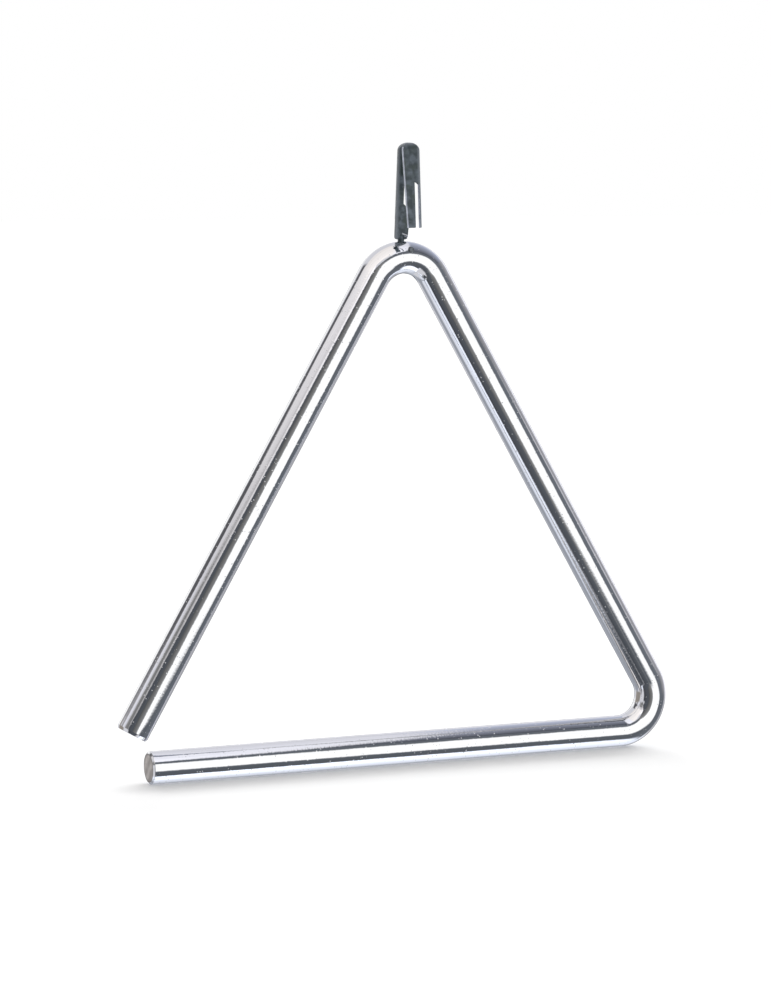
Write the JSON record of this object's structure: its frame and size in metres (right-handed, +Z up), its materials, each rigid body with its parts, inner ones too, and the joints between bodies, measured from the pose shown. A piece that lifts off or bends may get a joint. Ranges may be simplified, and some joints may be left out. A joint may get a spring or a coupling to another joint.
{
  "type": "triangle instrument",
  "caption": "Musical triangle: a round chromed rod bent into an equilateral triangle with one open corner, hanging from a small black hook that swivels in its apex.",
  "frame": {"origin": "centre of the hook's fold, where a cord or wire carries the instrument", "axes": "+Z up, +X along the triangle's base towards its closed corner, -Y to the front, where the hook's free leg is"},
  "size_m": [0.1457, 0.0129, 0.1527],
  "materials": {
    "chromed_rod": "bright chrome plate, bare steel on the two sawn ends",
    "black_hook": "satin slate black",
    "pin_steel": "dark dull steel"
  },
  "bodies": {
    "hanger": {"hanger_hook": "black_hook"},
    "triangle": {"triangle_rod": "chromed_rod", "retaining_pin": "pin_steel"}
  },
  "joints": [
    {"name": "hanger_swivel", "type": "hinge", "parent": "hanger", "child": "triangle", "pos_m": [0, 0.00465, -0.0219], "axis": [0, 0, 1], "continuous": true}
  ]
}
